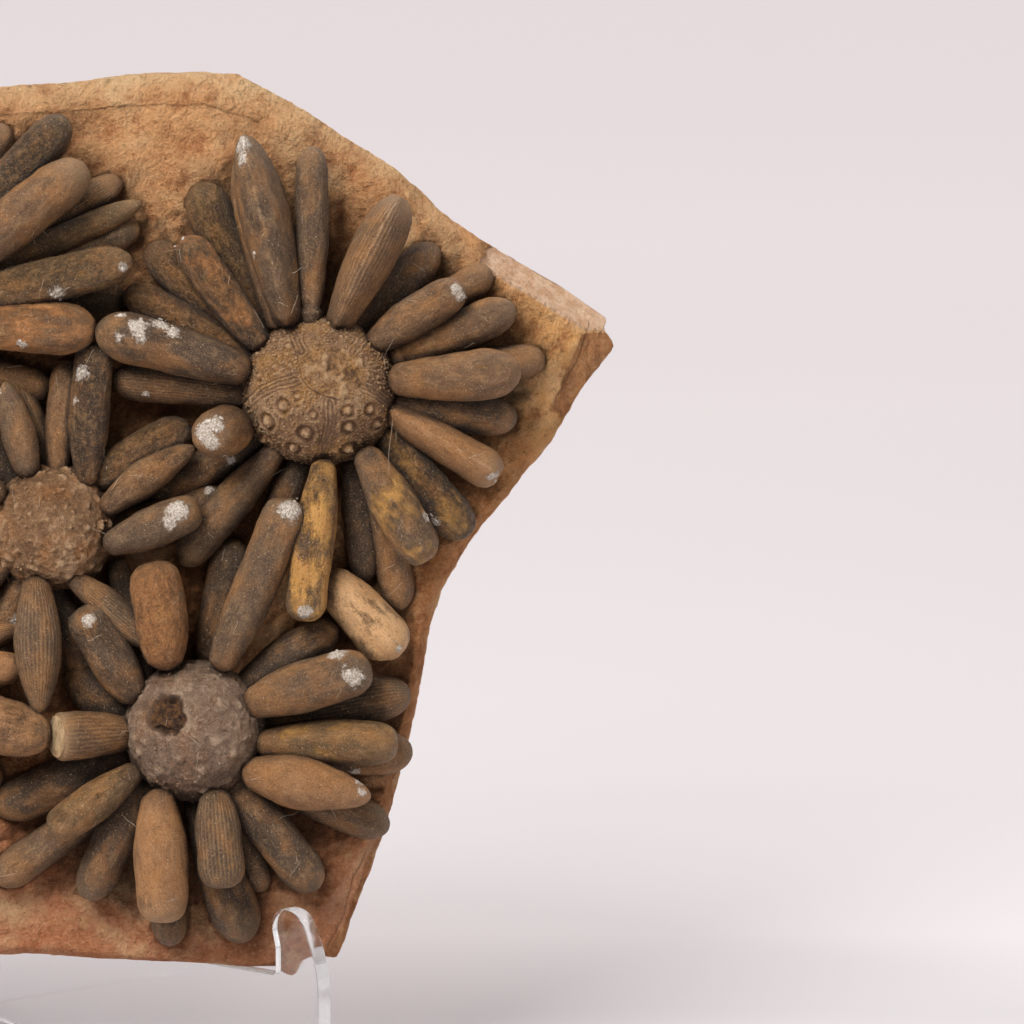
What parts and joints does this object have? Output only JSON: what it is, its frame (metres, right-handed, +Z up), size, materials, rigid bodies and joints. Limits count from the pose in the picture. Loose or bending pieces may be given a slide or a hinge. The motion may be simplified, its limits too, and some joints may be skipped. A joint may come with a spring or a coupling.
{
  "type": "fossil sea urchin slab",
  "caption": "Irregular sandstone slab with fossil club-spined sea urchins lying in relief on its face, leaning in a clear stand of two crossed plates.",
  "frame": {"origin": "on the ground, under the middle of the whole object", "axes": "+Z up, +X to the right of a viewer who faces the fossils, +Y from the face of the slab towards its back"},
  "size_m": [0.2867, 0.1323, 0.2587],
  "materials": {
    "sandstone": "rough grainy broken stone",
    "fossil": "dull to faintly polished fossil",
    "clear_plate": "clear polished"
  },
  "bodies": {
    "root": {"stone_slab": "sandstone", "urchin_upper_right": "fossil", "urchin_lower": "fossil", "urchin_middle": "fossil", "urchin_upper_left": "fossil", "urchin_lower_left": "fossil", "stand_plate_right": "clear_plate", "stand_plate_left": "clear_plate"}
  },
  "joints": []
}
